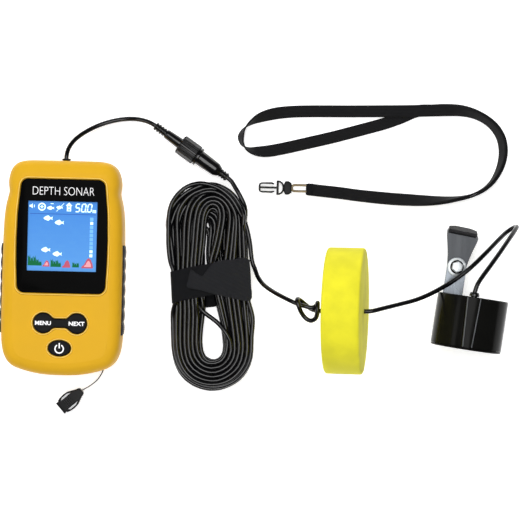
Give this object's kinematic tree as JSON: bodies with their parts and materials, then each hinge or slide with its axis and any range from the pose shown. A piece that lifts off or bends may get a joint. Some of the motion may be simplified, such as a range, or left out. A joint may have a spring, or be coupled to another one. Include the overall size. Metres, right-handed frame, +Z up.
{
  "type": "fish finder",
  "caption": "Handheld sonar fish finder with a wired floating transducer on a strapped hank of cable, a foam float, a tilting clamp bracket and a neck lanyard, laid out flat.",
  "frame": {"origin": "centre of the handset's flat back, which lies on the table", "axes": "+Z up from the table through the handset's front face, +Y towards the handset's cable end, +X towards the float and the transducer"},
  "size_m": [0.316, 0.1969, 0.0781],
  "materials": {
    "case_yellow": "satin moulded plastic, warm yellow",
    "black_rubber": "matte black rubber",
    "screen_window": "polished window with a black printed border",
    "black_plastic": "black moulded plastic, lightly textured",
    "circuit_board": "green solder mask",
    "zinc_plate": "bright zinc plated steel",
    "satin_steel": "grey satin steel",
    "cell_wrap": "printed sleeve of a plain AAA cell",
    "cable_jacket": "smooth black cable jacket",
    "strap_fabric": "black hook and loop tape",
    "float_foam": "closed cell foam, bright yellow",
    "sensor_gloss": "glossy black moulded housing",
    "piezo_ceramic": "fired ceramic",
    "cork": "cork sheet",
    "wire_link": "pale nickel brass wire",
    "webbing": "black ribbed polyester webbing"
  },
  "bodies": {
    "handset": {"front_case": "case_yellow", "rear_case": "case_yellow", "case_gasket": "black_rubber", "grip_right": "black_rubber", "grip_left": "black_rubber", "screen_window": "screen_window", "window_seal": "black_rubber", "main_board": "circuit_board", "backlight": "black_plastic", "lcd_panel": "screen_window", "buzzer": "black_plastic", "key_switch_1": "zinc_plate", "key_switch_2": "zinc_plate", "key_switch_3": "zinc_plate", "battery_1": "cell_wrap", "battery_2": "cell_wrap", "battery_3": "cell_wrap", "battery_4": "cell_wrap", "contact_plate_lower": "zinc_plate", "contact_plate_upper": "zinc_plate", "case_screw_1": "zinc_plate", "case_screw_2": "zinc_plate", "case_screw_3": "zinc_plate", "case_screw_4": "zinc_plate", "cable_gland": "black_rubber", "lanyard_bar": "zinc_plate", "handset_lead": "cable_jacket", "plug_body": "black_plastic", "plug_seal": "black_rubber", "socket_body": "black_plastic", "hank_lead": "cable_jacket", "cable_hank": "cable_jacket", "hank_strap": "strap_fabric", "float_lead": "cable_jacket", "stop_knot": "cable_jacket", "sensor_lead": "cable_jacket", "sensor_case": "sensor_gloss", "sensor_face": "sensor_gloss", "piezo_disc": "piezo_ceramic", "cork_backing": "cork", "sensor_potting": "black_rubber", "sensor_gland": "black_rubber", "sensor_tab": "zinc_plate", "tilt_bolt": "zinc_plate", "bolt_washer": "zinc_plate", "lock_washer": "zinc_plate", "bolt_nut": "zinc_plate", "tether_cord": "webbing", "buckle_socket": "black_plastic"},
    "menu_key": {"menu_key": "black_rubber"},
    "power_key": {"power_key": "black_rubber"},
    "battery_door": {"battery_door": "case_yellow"},
    "coupling_nut": {"coupling_nut": "black_plastic"},
    "float": {"float": "float_foam"},
    "bracket": {"bracket_arm": "satin_steel", "bracket_pad": "black_rubber"},
    "lanyard": {"lanyard_webbing": "webbing", "lanyard_link": "wire_link", "lanyard_knuckle": "black_plastic", "buckle_plug": "black_plastic"}
  },
  "joints": [
    {"name": "menu_key_rock", "type": "hinge", "parent": "handset", "child": "menu_key", "pos_m": [0, -0.0333, 0.0279], "axis": [0, 1, 0], "range_deg": [-4, 4], "stiffness_Nm_per_rad": 0.3},
    {"name": "power_key_press", "type": "slide", "parent": "handset", "child": "power_key", "axis": [0, 0, -1], "range_m": [0, 0.0008], "stiffness_N_per_m": 1500},
    {"name": "battery_door_slide", "type": "slide", "parent": "handset", "child": "battery_door", "axis": [0, -1, 0], "range_m": [0, 0.008]},
    {"name": "coupling_nut_turn", "type": "hinge", "parent": "handset", "child": "coupling_nut", "pos_m": [0.0536, 0.0889, 0.0064], "axis": [0.8247, -0.5656, 0], "continuous": true},
    {"name": "float_spin", "type": "hinge", "parent": "handset", "child": "float", "pos_m": [0.1718, -0.0213, 0.0391], "axis": [0.9912, 0, 0.1323], "continuous": true},
    {"name": "bracket_tilt", "type": "hinge", "parent": "handset", "child": "bracket", "pos_m": [0.2402, 0.00659, 0.0132], "axis": [0, 0, 1], "range_deg": [-90, 90]},
    {"name": "lanyard_lift", "type": "slide", "parent": "handset", "child": "lanyard", "axis": [0, 0, 1], "range_m": [0, 0.03]}
  ]
}
